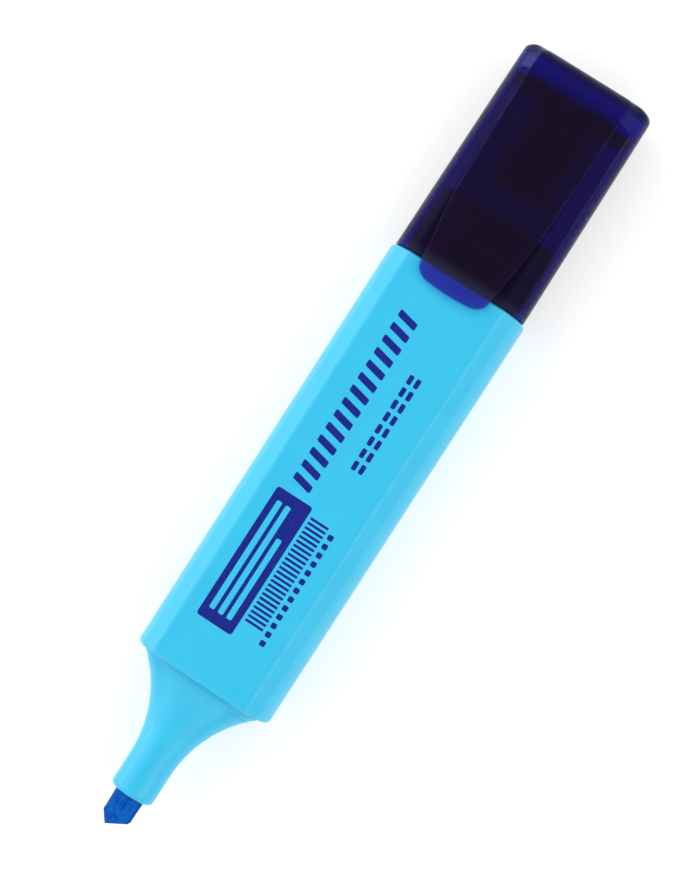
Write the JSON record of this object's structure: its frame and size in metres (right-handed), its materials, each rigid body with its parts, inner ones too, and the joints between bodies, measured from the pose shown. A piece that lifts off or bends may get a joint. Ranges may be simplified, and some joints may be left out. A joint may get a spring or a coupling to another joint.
{
  "type": "highlighter pen",
  "caption": "Flat chisel-tip highlighter with a flared neck, fibre nib, ink reservoir and a clip cap pushed onto its tail.",
  "frame": {"origin": "centre of the bounding box in X and Y, on the barrel's back face", "axes": "+X along the pen from the nib to the cap's closed end, +Z out of the clip side, +Y to the left when the cap end points up and the clip side faces the viewer"},
  "size_m": [0.1416, 0.025, 0.0159],
  "materials": {
    "barrel_plastic": "satin light blue",
    "nib_fibre": "inked polyester fibre",
    "reservoir_fibre": "inked polyester fibre",
    "film_plastic": "clear film",
    "cap_plastic": "dark translucent navy",
    "dark_plastic": "dark navy"
  },
  "bodies": {
    "pen": {"barrel": "barrel_plastic", "front_section": "barrel_plastic", "nib": "nib_fibre", "ink_reservoir": "reservoir_fibre", "reservoir_film": "film_plastic", "tail_plug": "dark_plastic"},
    "cap": {"cap_shell": "cap_plastic", "inner_cap": "dark_plastic"},
    "clip": {"pocket_clip": "cap_plastic"}
  },
  "joints": [
    {"name": "cap_slide", "type": "slide", "parent": "pen", "child": "cap", "axis": [1, 0, 0], "range_m": [0, 0.035]},
    {"name": "clip_flex", "type": "hinge", "parent": "cap", "child": "clip", "pos_m": [0.06635, 0, 0.01527], "axis": [0, 1, 0], "range_deg": [0, 3], "stiffness_Nm_per_rad": 2}
  ]
}
